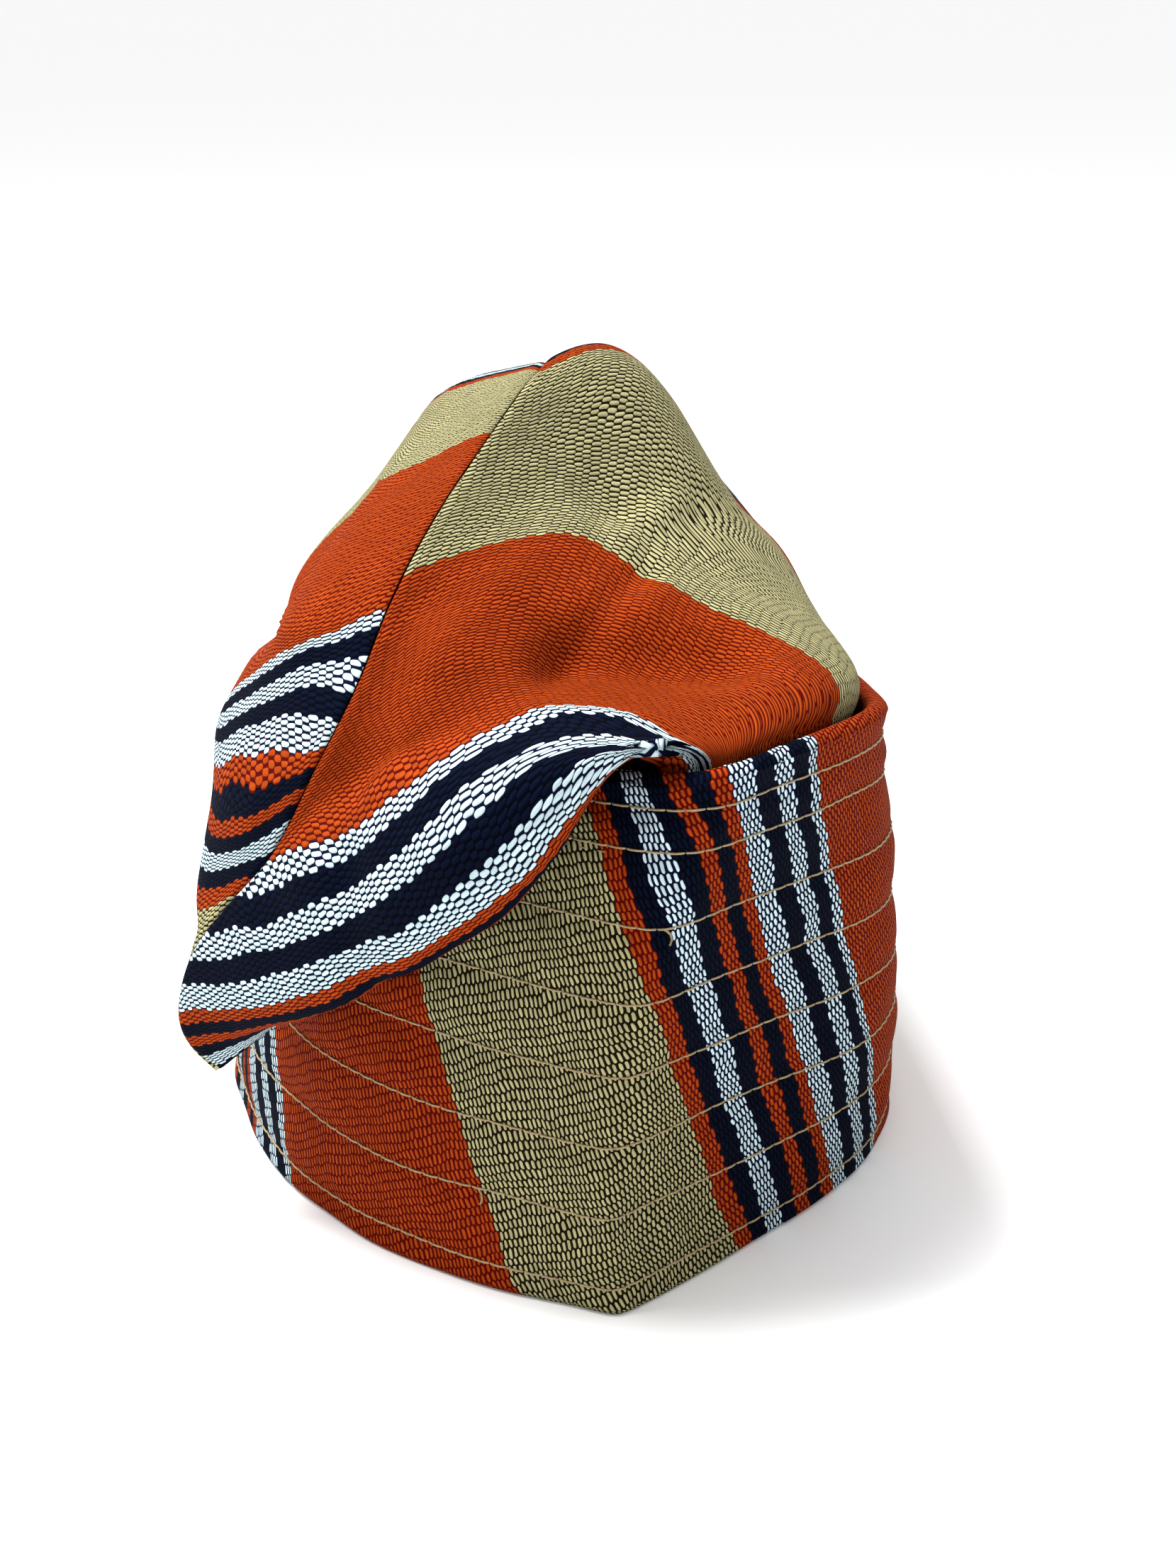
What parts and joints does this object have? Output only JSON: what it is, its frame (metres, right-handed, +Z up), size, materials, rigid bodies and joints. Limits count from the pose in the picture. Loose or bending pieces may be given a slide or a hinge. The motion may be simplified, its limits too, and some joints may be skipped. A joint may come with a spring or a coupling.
{
  "type": "fila cap",
  "caption": "Soft handwoven striped cap with a tall quilted band and a crown folded over it into a hanging flap.",
  "frame": {"origin": "on the ground under the middle of the cap's box, the cap standing on its band", "axes": "+Z up, -Y to the front where the band's crease and the flap are, +X to the viewer's right from the front"},
  "size_m": [0.1426, 0.2446, 0.1564],
  "materials": {
    "band_cloth": "matte",
    "right_cloth": "matte",
    "left_cloth": "matte"
  },
  "bodies": {
    "root": {"band": "band_cloth", "right_panel": "right_cloth", "left_panel": "left_cloth"}
  },
  "joints": []
}
